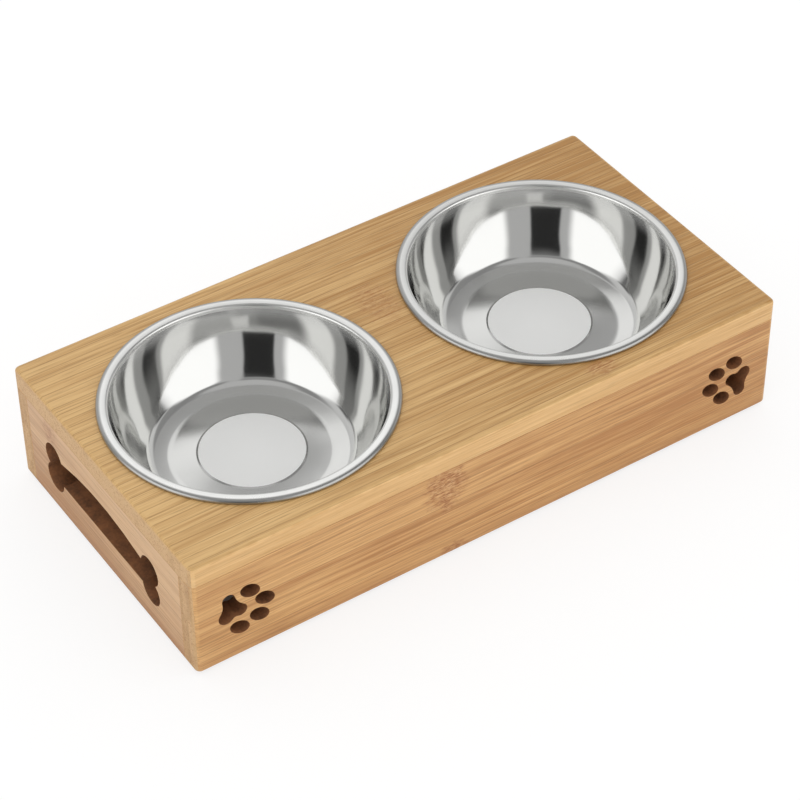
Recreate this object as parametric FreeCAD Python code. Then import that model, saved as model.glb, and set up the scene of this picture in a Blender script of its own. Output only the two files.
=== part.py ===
import FreeCAD, Part
import math
import os

# Pet bowl stand: a bamboo box without a floor that carries two pressed steel bowls.
# Lengths are in millimetres. X runs along the stand, the front faces -Y, Z is up.
# The origin is on the ground, under the middle of the stand.

Vector = FreeCAD.Vector
X_AXIS = Vector(1, 0, 0)
Y_AXIS = Vector(0, 1, 0)
Z_AXIS = Vector(0, 0, 1)
ORIGIN = Vector(0, 0, 0)

# Bamboo box around the bowls, sanded round on the outside after gluing
stand_height = 70.0
board_thickness = 12.0
corner_radius = 3.0
edge_radius = 2.0
rim_end_margin = 9.8
rim_side_margin = 11.5
rim_gap = 26.4

# Feet: thin pads stuck under the long walls
foot_diameter = 8.0
foot_height = 1.5
foot_chamfer = 0.4
foot_inset = 18.0

# Bowls, pressed from sheet, with a rolled rim that hangs on the top panel
rim_diameter = 152.0
rim_band = 5.8
rim_height = 2.6
rim_fall = 0.35
rim_roll_radius = 1.6
rim_foot_radius = 0.6
rim_return = 3.4
lip_radius = 1.1
bowl_depth = 36.8
wall_spread = 18.6
knee_inset = 3.7
knee_drop = 18.1
wall_curve_reach = 17.0
floor_ring = 24.3
floor_fillet = 6.5
channel_reach = 14.2
channel_fall = 0.7
channel_rise = 1.1
channel_radius = 20.0
disc_step = 0.5
disc_shoulder = 0.9
disc_edge_radius = 1.0
sheet_thickness = 0.6
hole_clearance = 0.9
rim_seat_gap = 0.2

# Bone-shaped hand hole in each end panel
bone_length = 112.8
bone_height = 29.9
bone_lobe_diameter = 16.4
bone_shaft_drop = 7.0
bone_shaft_rise = 8.5
bone_arch_rise = 5.5
bone_offset = 2.6

# Paw of five cut-outs near each end of the long walls
paw_size = 30.6
paw_inset = 29.2
toe_length = 11.6
toe_width = 7.8
toe_tilt_degrees = -31.0
toe_centre_shares = ((0.075, 0.353), (0.332, 0.055), (0.218, -0.247), (-0.148, -0.332))
pad_lobe_shares = ((-0.372, 0.006), (-0.114, 0.035), (-0.317, 0.350))
pad_lobe_radius_shares = (0.142, 0.116, 0.115)
pad_waist_radius_shares = (0.090, 0.420, 0.300)

# Dowels: glued blind into the face of one board and the edge of the other
dowel_diameter = 6.0
dowel_length = 20.0
dowel_in_face = 7.5
dowel_chamfer = 0.8
dowel_fit = 0.1
dowel_end_gap = 0.5
corner_dowel_margin = 7.0
paw_dowel_gap = 20.0
end_top_dowel_pitch = 60.0

# How far a cutting shape runs past the face that it cuts
overrun = 2.0

# Places that follow from the sizes
rim_radius = rim_diameter / 2
mouth_radius = rim_radius - rim_band
floor_radius = mouth_radius - wall_spread
disc_radius = floor_radius - floor_ring
half_length = rim_gap / 2 + rim_diameter + rim_end_margin
half_width = rim_radius + rim_side_margin
bowl_offset = rim_gap / 2 + rim_radius
base_height = foot_height
top_height = base_height + stand_height
wall_height = stand_height - board_thickness
wall_top = base_height + wall_height
wall_middle = base_height + wall_height / 2
long_wall_centre = half_width - board_thickness / 2
end_wall_centre = half_length - board_thickness / 2
inner_half_length = half_length - board_thickness
inner_half_width = half_width - board_thickness
bowl_centres = {"left": -bowl_offset, "right": bowl_offset}
sides = {"left": -1, "right": 1}
faces = {"front": -1, "rear": 1}


def block(low, high):
    """Box between two corners."""
    size = high - low
    return Part.makeBox(size.x, size.y, size.z, low)


def face_between(outline):
    """Flat face inside a closed chain of edges."""
    return Part.Face(Part.Wire(Part.__sortEdges__(outline)))


def arc_about(centre, radius, start, end, bulge):
    """Arc of a circle in the plane from start to end, on the side that bulge points to."""
    middle = centre + Vector(bulge).normalize() * radius
    return Part.Arc(start, middle, end).toShape()


def sanded_box():
    """Outside of the glued box, with its corners and edges rounded."""
    low = Vector(-half_length, -half_width, base_height)
    high = Vector(half_length, half_width, top_height)
    box = block(low, high)
    uprights = [edge for edge in box.Edges if edge.BoundBox.ZLength > stand_height / 2]
    box = box.makeFillet(corner_radius, uprights)
    rings = [edge for edge in box.Edges if edge.BoundBox.ZLength < corner_radius / 2]
    return box.makeFillet(edge_radius, rings)


def bone_face():
    """Bone outline in the XY plane: four lobes, a straight lower edge and an arched upper edge."""
    lobe = bone_lobe_diameter / 2
    across = bone_length / 2 - lobe
    up = bone_height / 2 - lobe
    notch = across + math.sqrt(lobe**2 - up**2)
    low_meet = across - math.sqrt(lobe**2 - (bone_shaft_drop - up)**2)
    high_meet = across - math.sqrt(lobe**2 - (bone_shaft_rise - up)**2)
    low_ends = [Vector(side * low_meet, -bone_shaft_drop, 0) for side in sides.values()]
    high_ends = [Vector(side * high_meet, bone_shaft_rise, 0) for side in sides.values()]
    crown = Vector(0, bone_shaft_rise + bone_arch_rise, 0)
    edges = [
        Part.LineSegment(low_ends[0], low_ends[1]).toShape(),
        Part.Arc(high_ends[0], crown, high_ends[1]).toShape(),
    ]
    for side, low_end, high_end in zip(sides.values(), low_ends, high_ends):
        tip = Vector(side * notch, 0, 0)
        edges.append(arc_about(Vector(side * across, -up, 0), lobe, low_end, tip, Vector(side, -1, 0)))
        edges.append(arc_about(Vector(side * across, up, 0), lobe, high_end, tip, Vector(side, 1, 0)))
    return face_between(edges)


def waist_centre(first, first_radius, second, second_radius, waist):
    """Centre of an arc that touches two lobes from outside, right of the way from first to second."""
    reach = first_radius + waist
    far_reach = second_radius + waist
    gap = (second - first).Length
    along = (gap**2 + reach**2 - far_reach**2) / (2 * gap)
    aside = math.sqrt(reach**2 - along**2)
    way = (second - first).normalize()
    return first + way * along + Vector(way.y, -way.x, 0) * aside


def pad_face():
    """Main pad of the paw in the XY plane: three lobes joined by hollow waists, all tangent."""
    centres = [Vector(x * paw_size, y * paw_size, 0) for x, y in pad_lobe_shares]
    radii = [share * paw_size for share in pad_lobe_radius_shares]
    waists = [share * paw_size for share in pad_waist_radius_shares]
    count = len(centres)
    hollows = []
    for index in range(count):
        after = (index + 1) % count
        pair = (centres[index], radii[index], centres[after], radii[after])
        hollows.append(waist_centre(*pair, waists[index]))
    middle = (centres[0] + centres[1] + centres[2]) / count
    edges = []
    for index in range(count):
        before = (index - 1) % count
        after = (index + 1) % count
        centre = centres[index]
        start = centre + (hollows[before] - centre).normalize() * radii[index]
        end = centre + (hollows[index] - centre).normalize() * radii[index]
        edges.append(arc_about(centre, radii[index], start, end, centre - middle))
        next_start = centres[after] + (hollows[index] - centres[after]).normalize() * radii[after]
        edges.append(arc_about(hollows[index], waists[index], end, next_start, middle - hollows[index]))
    return face_between(edges)


def toe_face(centre):
    """One toe of the paw in the XY plane: a tilted ellipse."""
    ellipse = Part.Ellipse(ORIGIN, toe_length / 2, toe_width / 2).toShape()
    toe = Part.Face(Part.Wire(ellipse))
    toe.rotate(ORIGIN, Z_AXIS, toe_tilt_degrees)
    toe.translate(centre)
    return toe


def paw_faces():
    """All five cut-outs of one paw, about its own centre in the XY plane."""
    toes = [toe_face(Vector(x * paw_size, y * paw_size, 0)) for x, y in toe_centre_shares]
    return [pad_face()] + toes


def through_cut(face, spin_degrees, turn_degrees, place):
    """Cutter through a wall: an outline spun in its plane, stood upright, turned and placed."""
    depth = board_thickness + 2 * overrun
    cutter = face.extrude(Z_AXIS * depth)
    cutter.translate(-Z_AXIS * (depth / 2))
    cutter.rotate(ORIGIN, Z_AXIS, spin_degrees)
    cutter.rotate(ORIGIN, X_AXIS, 90)
    cutter.rotate(ORIGIN, Z_AXIS, turn_degrees)
    cutter.translate(place)
    return cutter


def paw_cutters(face_sign):
    """Cutters for both paws of one long wall; one paw is the other turned half round."""
    turn = 0 if face_sign < 0 else 180
    cutters = []
    for side in sides.values():
        place = Vector(side * (half_length - paw_inset), face_sign * long_wall_centre, wall_middle)
        spin = 0 if side * face_sign > 0 else 180
        cutters += [through_cut(face, spin, turn, place) for face in paw_faces()]
    return cutters


def dowel(seat, into_face):
    """Dowel with chamfered ends; seat lies on the glue line and into_face points into the face board."""
    body = Part.makeCylinder(dowel_diameter / 2, dowel_length, ORIGIN, Z_AXIS)
    rims = [edge for edge in body.Edges if edge.BoundBox.ZLength < dowel_chamfer]
    body = body.makeChamfer(dowel_chamfer, rims)
    start = seat - into_face * (dowel_length - dowel_in_face)
    body.Placement = FreeCAD.Placement(start, FreeCAD.Rotation(Z_AXIS, into_face))
    return body


def dowel_hole(seat, into_face):
    """Drilled hole around a dowel, with room for glue at both ends."""
    start = seat - into_face * (dowel_length - dowel_in_face + dowel_end_gap)
    depth = dowel_length + 2 * dowel_end_gap
    return Part.makeCylinder(dowel_diameter / 2 + dowel_fit, depth, start, into_face)


def dowel_seats():
    """Dowels of each joint: places on the glue line and the direction into the face board."""
    seats = {}
    for face, face_sign in faces.items():
        heights = (base_height + corner_dowel_margin, wall_top - corner_dowel_margin)
        for side, sign in sides.items():
            points = [Vector(sign * end_wall_centre, face_sign * inner_half_width, z) for z in heights]
            seats[f"{face}_{side}_dowels"] = (points, Y_AXIS * face_sign)
        outer = half_length - paw_inset - paw_size / 2 - paw_dowel_gap
        points = [Vector(x, face_sign * long_wall_centre, wall_top) for x in (-outer, 0, outer)]
        seats[f"{face}_top_dowels"] = (points, Z_AXIS)
    for side, sign in sides.items():
        rows = (-end_top_dowel_pitch / 2, end_top_dowel_pitch / 2)
        points = [Vector(sign * end_wall_centre, y, wall_top) for y in rows]
        seats[f"{side}_top_dowels"] = (points, Z_AXIS)
    return seats


def rounded_path(points, radii):
    """Edges through points, with the corners that have a radius rounded by it."""
    edges = []
    start = points[0]
    for index in range(1, len(points) - 1):
        corner = points[index]
        radius = radii.get(index, 0)
        back = (points[index - 1] - corner).normalize()
        ahead = (points[index + 1] - corner).normalize()
        half_angle = back.getAngle(ahead) / 2
        bisector = (back + ahead).normalize()
        reach = radius / math.tan(half_angle)
        edges.append(Part.LineSegment(start, corner + back * reach).toShape())
        start = corner + ahead * reach
        if radius:
            crest = corner + bisector * (radius / math.sin(half_angle) - radius)
            edges.append(Part.Arc(corner + back * reach, crest, start).toShape())
    edges.append(Part.LineSegment(start, points[-1]).toShape())
    return edges


def rounding_radius(points, index, reach):
    """Radius that rounds one corner of a path from this far before it to this far after it."""
    back = points[index - 1] - points[index]
    ahead = points[index + 1] - points[index]
    return reach * math.tan(back.getAngle(ahead) / 2)


def other_side(points, thickness):
    """Points of a sheet's other side, to the right of the way along the given side in the XZ plane."""
    ways = [(after - before).normalize() for before, after in zip(points, points[1:])]
    rights = [Vector(way.z, 0, -way.x) for way in ways]
    moved = [points[0] + rights[0] * thickness]
    for point, before, after in zip(points[1:-1], rights, rights[1:]):
        moved.append(point + (before + after) * (thickness / (1 + before.dot(after))))
    moved.append(points[-1] + rights[-1] * thickness)
    return moved


def bowl_at(centre_x):
    """Pressed bowl: one sheet profile from the raised disc to the rolled rim, turned about its axis."""
    disc_height = rim_height - bowl_depth
    ring_height = disc_height - disc_step
    channel_height = ring_height - channel_fall
    shown = [
        Vector(0, 0, disc_height),
        Vector(disc_radius, 0, disc_height),
        Vector(disc_radius + disc_shoulder, 0, ring_height),
        Vector(disc_radius + channel_reach, 0, channel_height),
        Vector(floor_radius, 0, channel_height + channel_rise),
        Vector(mouth_radius - knee_inset, 0, rim_height - knee_drop),
        Vector(mouth_radius, 0, rim_height - rim_fall),
        Vector(rim_radius, 0, rim_height),
        Vector(rim_radius, 0, rim_seat_gap),
        Vector(rim_radius - rim_return, 0, rim_seat_gap),
    ]
    disc_edge, shoulder, channel, floor_corner, knee, lip, roll_top, roll_foot = range(1, len(shown) - 1)
    hollows = {
        shoulder: disc_edge_radius,
        channel: channel_radius,
        floor_corner: floor_fillet,
        knee: rounding_radius(shown, knee, wall_curve_reach),
    }
    crests = {
        disc_edge: disc_edge_radius,
        lip: lip_radius,
        roll_top: rim_roll_radius,
        roll_foot: rim_foot_radius,
    }
    hidden = other_side(shown, sheet_thickness)
    wider = {corner: radius + sheet_thickness for corner, radius in hollows.items()}
    tighter = {corner: max(radius - sheet_thickness, 0) for corner, radius in crests.items()}
    outline = rounded_path(shown, hollows | crests)
    outline += rounded_path(hidden, wider | tighter)
    outline.append(Part.LineSegment(shown[0], hidden[0]).toShape())
    outline.append(Part.LineSegment(shown[-1], hidden[-1]).toShape())
    bowl = face_between(outline).revolve(ORIGIN, Z_AXIS, 360)
    bowl.translate(Vector(centre_x, 0, top_height))
    return bowl


def foot_at(side_sign, face_sign):
    """Round pad with a bevelled lower edge, centred on the flat part of the wall's underside."""
    flat_width = board_thickness - edge_radius
    y = face_sign * (inner_half_width + flat_width / 2)
    pad = Part.makeCylinder(foot_diameter / 2, foot_height)
    lower_edge = [edge for edge in pad.Edges if edge.BoundBox.ZMax < foot_height / 2]
    pad = pad.makeChamfer(foot_chamfer, lower_edge)
    pad.translate(Vector(side_sign * (half_length - foot_inset), y, 0))
    return pad


def panels(holes):
    """The five boards, cut from the sanded box, with their cut-outs and dowel holes."""
    outside = sanded_box()
    boards = {}
    top_low = Vector(-half_length, -half_width, wall_top)
    top = outside.common(block(top_low, Vector(half_length, half_width, top_height)))
    hole_radius = mouth_radius + hole_clearance
    start = wall_top - overrun
    for x in bowl_centres.values():
        top = top.cut(Part.makeCylinder(hole_radius, board_thickness + 2 * overrun, Vector(x, 0, start)))
    boards["top_panel"] = top
    for face, face_sign in faces.items():
        near = min(face_sign * half_width, face_sign * inner_half_width)
        low = Vector(-half_length, near, base_height)
        wall = outside.common(block(low, Vector(half_length, near + board_thickness, wall_top)))
        boards[f"{face}_panel"] = wall.cut(paw_cutters(face_sign))
    for side, sign in sides.items():
        near = min(sign * half_length, sign * inner_half_length)
        low = Vector(near, -inner_half_width, base_height)
        wall = outside.common(block(low, Vector(near + board_thickness, inner_half_width, wall_top)))
        place = Vector(sign * end_wall_centre, bone_offset, wall_middle)
        boards[f"{side}_end_panel"] = wall.cut(through_cut(bone_face(), 0, 90 * sign, place))
    return {name: board.cut(holes) for name, board in boards.items()}


def build():
    """All pieces by name."""
    pieces = {}
    seats = dowel_seats()
    holes = [dowel_hole(point, way) for points, way in seats.values() for point in points]
    pieces.update(panels(holes))
    for side, x in bowl_centres.items():
        pieces[f"{side}_bowl"] = bowl_at(x)
    for face, face_sign in faces.items():
        for side, sign in sides.items():
            pieces[f"{face}_{side}_foot"] = foot_at(sign, face_sign)
    for name, (points, way) in seats.items():
        pieces[name] = Part.makeCompound([dowel(point, way) for point in points])
    return pieces


os.makedirs("parts", exist_ok=True)
for name, shape in build().items():
    shape.exportStep(f"parts/{name}.step")
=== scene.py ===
import math
from dataclasses import dataclass
from typing import NamedTuple

import bmesh
import bpy
from bpy.props import FloatProperty, FloatVectorProperty, PointerProperty
from bpy.types import NodeSocket, Operator, Panel, PropertyGroup
from mathutils import Matrix, Vector


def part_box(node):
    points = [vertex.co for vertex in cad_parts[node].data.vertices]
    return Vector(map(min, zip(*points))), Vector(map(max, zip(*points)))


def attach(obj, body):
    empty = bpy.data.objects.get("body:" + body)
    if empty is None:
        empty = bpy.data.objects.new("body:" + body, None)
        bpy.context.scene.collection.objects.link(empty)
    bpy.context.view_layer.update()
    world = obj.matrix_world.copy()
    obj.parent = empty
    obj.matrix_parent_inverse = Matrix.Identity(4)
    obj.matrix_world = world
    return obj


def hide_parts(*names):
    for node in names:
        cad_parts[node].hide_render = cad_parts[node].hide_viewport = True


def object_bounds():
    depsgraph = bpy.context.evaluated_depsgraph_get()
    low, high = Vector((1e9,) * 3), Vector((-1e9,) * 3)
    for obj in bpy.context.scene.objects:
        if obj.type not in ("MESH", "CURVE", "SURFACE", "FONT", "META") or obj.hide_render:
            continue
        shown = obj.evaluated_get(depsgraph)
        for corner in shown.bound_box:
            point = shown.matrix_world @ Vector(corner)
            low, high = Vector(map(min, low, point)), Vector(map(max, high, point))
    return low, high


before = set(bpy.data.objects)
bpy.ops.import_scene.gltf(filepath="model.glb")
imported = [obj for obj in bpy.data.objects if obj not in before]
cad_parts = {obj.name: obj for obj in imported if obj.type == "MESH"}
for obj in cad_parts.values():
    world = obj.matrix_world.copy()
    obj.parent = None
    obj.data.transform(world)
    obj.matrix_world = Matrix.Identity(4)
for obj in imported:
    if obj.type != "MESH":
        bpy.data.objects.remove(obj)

bl_info = {
    "name": "Pet Bowl Stand",
    "version": (1, 0, 0),
    "blender": (4, 5, 0),
    "location": "View3D > Sidebar > Bowl Stand",
    "description": "Dresses the packed bowl stand: bamboo boards, pressed steel bowls, pads and studio",
    "category": "Object",
}

# Lengths are in metres. X runs along the stand, the front faces -Y, Z is up.
CAD_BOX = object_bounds()
X, Y, Z = 0, 1, 2
SIDES = {"left": -1, "right": 1}
FACES = {"front": -1, "rear": 1}

# Sides of the smooth rounds
CORNER_STEPS = 6
EDGE_STEPS = 5
EASED_STEPS = 2
ARC_STEP = math.radians(6)
HOLE_STEPS = 160
BOWL_STEPS = 192
FILLET_STEPS = 8
WALL_STEPS = 24
TOE_STEPS = 48
PAD_STEPS = 48

# An edge is sharp where its faces turn by more than this; a face is flat or steep by its normal's share
SHARP_ANGLE = math.radians(50)
FLAT_SHARE = 0.9999
STEEP_SHARE = 0.7
TINY = 1e-6

# Turn of an arc
LEFT, RIGHT = 1, -1

# Cutters are this many times as deep as a board is thick
CUTTER_DEPTH = 2

# Mark of the rounded edges in a mesh, and the finish that two kinds of board share
EDGE_WEAR = "edge_wear"
SCORCHED = "scorched_bamboo"

# Material slots of a board and of a bowl
BROAD, EDGES, ENDS, CUTS = range(4)
WALL, DISC, RIM, OUTSIDE = range(4)

# Paw layout as shares of the paw's size: along the wall, then up
TOE_CENTRES = ((0.075, 0.353), (0.332, 0.055), (0.218, -0.247), (-0.148, -0.332))
LOBE_CENTRES = ((-0.372, 0.006), (-0.114, 0.035), (-0.317, 0.350))
LOBE_RADII = (0.142, 0.116, 0.115)
WAIST_RADII = (0.090, 0.420, 0.300)


class Grain(NamedTuple):
    """Noise of a finish: repeats per metre on three axes, levels of detail and their roughness."""

    repeats: tuple
    detail: float = 2.0
    roughness: float = 0.5


class Mark(NamedTuple):
    """Values at which a mark starts and is full, and how strongly it then shows."""

    start: float
    full: float
    strength: float = 1.0


class Knuckle(NamedTuple):
    """Knuckle of the cane: middle and half size, both along and across the fibres, and strength."""

    along: float
    across: float
    half_length: float
    half_width: float
    strength: float


# Grain of the cane: along the fibres, across them and through the board
FIBRES = Grain((22, 1100, 1100), 2.0, 0.55)
STREAKS = Grain((9, 380, 380), 3.0, 0.62)
CLOUDS = Grain((8, 45, 45))
DARK_LINES = Grain((13, 700, 700), 2.5, 0.6)
PORES = Grain((70, 2000, 2000), 1.0)
FLECKS = Grain((300, 1150, 1150), 3.0, 0.65)
RAGGED_EDGE = Grain((150, 300, 1), 3.0)
FIBRE_ENDS = Grain((300, 1500, 1500))
END_RAYS = Grain((60, 260, 500))

# Grain that takes no notice of the fibres, and the lines turned about a bowl's axis
WORN_PATCHES = Grain((90, 90, 90))
SMOKE = Grain((110, 110, 110), 3.0)
CUT_MARKS = Grain((700, 700, 700))
TURNED_LINES = Grain((2600, 2600, 1))
SMEARS = Grain((45, 45, 45), 3.0, 0.6)
WAVES = Grain((28, 28, 28), 1.5, 0.4)
PAD_GRAIN = Grain((1800, 1800, 1800))
PAD_DUST = Grain((420, 420, 420), 3.0)
DOWEL_GRAIN = Grain((500, 500, 500), 3.0)
DOWEL_FLECKS = Grain((1500, 1500, 260))

# Marks in the bamboo; the glue line and the painted shade along the foot are lengths
DARK_LINE = Mark(0.54, 0.70, 0.44)
PORE = Mark(0.60, 0.72, 0.35)
GLUE_LINE = Mark(0.0004, 0.0, 0.55)
KNUCKLE_HAZE = Mark(1.25, 0.0, 0.36)
DARK_FLECK = Mark(0.49, 0.60, 0.80)
LIGHT_FLECK = Mark(0.46, 0.36, 0.75)
FOOT_PAINTED_SHADE = Mark(0.013, 0.002, 0.40)
WORN_EDGE = Mark(0.35, 0.65, 0.45)
FIBRE_END = Mark(0.54, 0.66, 0.5)
WORN_END_STRENGTH = 0.3

# Knuckles of each kind of board
TOP_KNUCKLES = (
    Knuckle(0.004, 0.026, 0.012, 0.020, 0.35),
    Knuckle(0.070, -0.079, 0.010, 0.006, 0.6),
)
LONG_KNUCKLES = (
    Knuckle(-0.031, 0.049, 0.013, 0.017, 1.0),
    Knuckle(-0.026, 0.004, 0.009, 0.005, 0.8),
)
END_KNUCKLES = (Knuckle(0.052, 0.053, 0.008, 0.008, 0.6),)
RAGGEDNESS = 2.4

# Bamboo: shift of the grain from strip to strip, and the shade of its dark lines
STRIP_SHIFT = 3.0
LINE_SHADE = 0.62

# Parts of the bamboo's tone: strip, streaks, fibres and clouds
TONE_PARTS = (0.35, 1.8, 1.7, 0.7)

# Parts of its relief: fibres, streaks, glue lines and dark lines; then the flecks
RELIEF_PARTS = (0.6, 0.3, -0.8, -0.3)
FLECK_RELIEF = -0.5

# Parts of its roughness: fibres and clouds; then worn edges
ROUGH_PARTS = (0.16, 0.10)
WORN_ROUGHNESS = -0.08

# Base and parts of the end grain's tone: cell, rays and depth
END_BASE = 0.05
END_PARTS = (0.45, 0.7, 0.15)

# Base and parts of the burnt walls' tone: smoke and marks
BURNT_BASE = -0.55
BURNT_PARTS = (1.3, 0.8)

# Base and parts of the dowels' tone: grain and flecks
DOWEL_BASE = -0.4
DOWEL_PARTS = (1.0, 0.8)

# Roughness of the plainer finishes, and what their grain adds to it
DOT_ROUGHNESS = 0.2
BURNT_ROUGHNESS = 0.55
MARK_ROUGHNESS = 0.25
PAD_ROUGHNESS = 0.42
DUST_ROUGHNESS = 0.2
DOWEL_ROUGHNESS = 0.5
FLECK_ROUGHNESS = 0.2

# Steel: parts of its roughness (even, smears and turned lines), and the shade and strength of its smears
POLISH_PARTS = (0.6, 0.5, 0.3)
SMEAR_SHADE = 0.9
SMEAR_STRENGTH = 0.25

# Steel: rougher inside the edge of the floor, and hazy above the edge of the mouth's zone
FLOOR_EDGE = Mark(0.004, -0.002, 0.09)
MOUTH_EDGE = Mark(-0.004, 0.004, -0.40)

# Tints of the rim, all painted light: a painted dark reflection line inside it, a painted highlight on its
# crest and a painted dark reflection on the rolled edge; where each begins and the width over which it
# fades in.
# The inner line and the crest are measured from the mouth, the roll from the outer edge.
PAINTED_LINE_BAND = (-0.0002, 0.0004)
PAINTED_CREST_BAND = (0.0006, 0.0008)
PAINTED_ROLL_BAND = (-0.0026, 0.0012)

# Pads: dust and its shade
PAD_DIRT = Mark(0.4, 0.75)
DIRT_SHADE = 0.8

# Studio seen in metal: where its parts fade, or begin and end, as parts of a direction of length 1
FAR_FADE = (0.0, 0.22)
FAR_MIDDLE = (0.28, 0.08)
LOW_FADE = (0.64, 0.56)
LAMP_HEIGHTS = (0.55, 0.74)
LAMP_SIDES = (-0.30, 0.03)
LAMP_SOFT = 0.03
GAP_DEPTHS = (-0.42, -0.10)
GAP_SOFT = 0.08
GAP_FADE = (0.62, 0.45)
LIGHT_SOFT = 0.06
STAND_SOFT = 0.02
STAND_HEAD = (0.60, 0.72)
NEAR_FADE = (-0.18, 0.14)
DOME_HEIGHTS = (0.77, 0.85)
DOME_SIDES = (0.22, 0.34)
CEILING_FADE = (0.915, 0.945)


def srgb(red, green, blue):
    """Linear colour of an 8-bit display colour."""
    shares = [value / 255 for value in (red, green, blue)]
    return tuple(part / 12.92 if part <= 0.04045 else ((part + 0.055) / 1.055) ** 2.4 for part in shares)


def length(name, description, default):
    """A size that a user may change."""
    return FloatProperty(name=name, description=description, default=default, unit="LENGTH", precision=5)


def share(name, description, default):
    """A plain factor that a user may change."""
    return FloatProperty(name=name, description=description, default=default, subtype="FACTOR")


def angle(name, description, degrees):
    """An angle that a user may change."""
    return FloatProperty(
        name=name, description=description, default=math.radians(degrees), subtype="ANGLE", unit="ROTATION"
    )


def colour(name, description, default):
    """A colour that a user may change."""
    return FloatVectorProperty(name=name, description=description, default=default, subtype="COLOR", size=3)


class BoardSizes(PropertyGroup):
    """Rounding of the boards"""

    corner_radius: length("Corner radius", "Rounding of the box's upright corners", 0.003)
    edge_radius: length("Edge radius", "Rounding along the top and bottom of the box", 0.002)
    eased_edge: length("Eased edge", "Small rounding of every other edge", 0.0003)


class BoneSizes(PropertyGroup):
    """Bone-shaped hand hole in each end board"""

    length: length("Length", "Length over both pairs of lobes", 0.1128)
    height: length("Height", "Height over one pair of lobes", 0.0299)
    lobe_diameter: length("Lobe diameter", "Diameter of each of the four lobes", 0.0164)
    shaft_drop: length("Shaft drop", "Depth of the straight lower edge under the middle", 0.0070)
    shaft_rise: length("Shaft rise", "Height of the ends of the arched upper edge over the middle", 0.0085)
    arch_rise: length("Arch rise", "Height of the arch over its own ends", 0.0055)
    offset: length("Offset", "How far the hole sits behind the middle of the board", 0.0026)


class PawSizes(PropertyGroup):
    """Paw of five cut-outs near each end of the long boards"""

    size: length("Size", "Width of the square around one paw", 0.0306)
    inset: length("Inset", "From the end of the board to the middle of the paw", 0.0292)
    toe_length: length("Toe length", "Longer axis of a toe", 0.0116)
    toe_width: length("Toe width", "Shorter axis of a toe", 0.0078)
    toe_tilt: angle("Toe tilt", "Turn of the toes in the plane of the board", -31.0)


class BowlSizes(PropertyGroup):
    """Section of a pressed bowl"""

    hole_clearance: length("Hole clearance", "Air between the mouth and the hole in the top board", 0.0009)
    rim_band: length("Rim band", "Width of the flat rim seen from above", 0.0058)
    rim_height: length("Rim height", "From the top board to the top of the rim", 0.0026)
    rim_fall: length("Rim fall", "Fall of the rim from its rolled edge to the mouth", 0.00035)
    roll_radius: length("Roll radius", "Rounding of the rolled outer edge", 0.0016)
    roll_foot: length("Roll foot", "Rounding where the rolled edge turns under", 0.0006)
    rim_return: length("Rim return", "Width of the sheet turned back under the rim", 0.0034)
    seat_gap: length("Seat gap", "Air between the rolled edge and the top board", 0.0002)
    lip_radius: length("Lip radius", "Rounding of the inner lip", 0.0011)
    depth: length("Depth", "From the top of the rim to the middle disc", 0.0368)
    wall_spread: length("Wall spread", "How far the wall leans out from floor to mouth", 0.0186)
    knee_inset: length("Knee inset", "How far the wall's knee lies inside the mouth", 0.0037)
    knee_drop: length("Knee drop", "How far the wall's knee lies under the top of the rim", 0.0181)
    wall_curve: length("Wall curve", "Radius of the wall's hollow curve at the knee", 0.0719)
    floor_ring: length("Floor ring", "Width of the ring between the disc and the wall", 0.0243)
    channel: length("Channel", "From the disc to the lowest line of the floor ring", 0.0142)
    channel_fall: length("Channel fall", "Fall of the floor ring to its lowest line", 0.0007)
    channel_rise: length("Channel rise", "Rise of the floor ring from there to the wall", 0.0011)
    channel_curve: length("Channel curve", "Rounding of the lowest line", 0.020)
    floor_fillet: length("Floor fillet", "Rounding between the floor and the wall", 0.0065)
    disc_step: length("Disc step", "Height of the pressed disc over the floor ring", 0.0005)
    disc_shoulder: length("Disc shoulder", "Width of the slope around the disc", 0.0009)
    step_radius: length("Step radius", "Rounding of the disc's edge", 0.0010)
    sheet: length("Sheet", "Thickness of the steel", 0.0006)


class FootSizes(PropertyGroup):
    """Round pads under the long boards"""

    edge_round: length("Edge round", "Rounding of the lower edge", 0.0004)
    dish_inset: length("Dish inset", "Width of the flat ring around the shallow dish", 0.0012)
    dish_depth: length("Dish depth", "Depth of the dish in the sole", 0.0003)


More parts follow.
